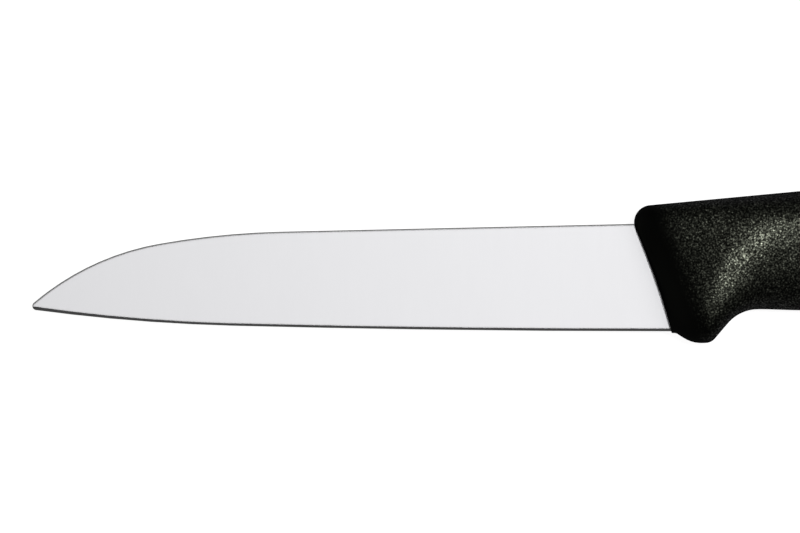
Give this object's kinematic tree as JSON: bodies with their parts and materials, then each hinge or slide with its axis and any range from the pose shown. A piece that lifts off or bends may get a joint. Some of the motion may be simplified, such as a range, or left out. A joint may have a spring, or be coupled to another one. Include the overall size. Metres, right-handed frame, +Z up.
{
  "type": "paring knife",
  "caption": "Paring knife: flat-ground steel blade with a nearly straight edge and a dropped point, hidden tang, and a moulded plastic handle with a finger guard.",
  "frame": {"origin": "middle of the knife's box, on the surface that it lies on", "axes": "+X along the knife towards the butt, +Y towards the spine, +Z up, across the blade's thickness"},
  "size_m": [0.2096, 0.0256, 0.014],
  "materials": {
    "blade": "fine satin polish",
    "handle": "spark-eroded mould grain"
  },
  "bodies": {
    "root": {"blade": "blade", "handle": "handle"}
  },
  "joints": []
}
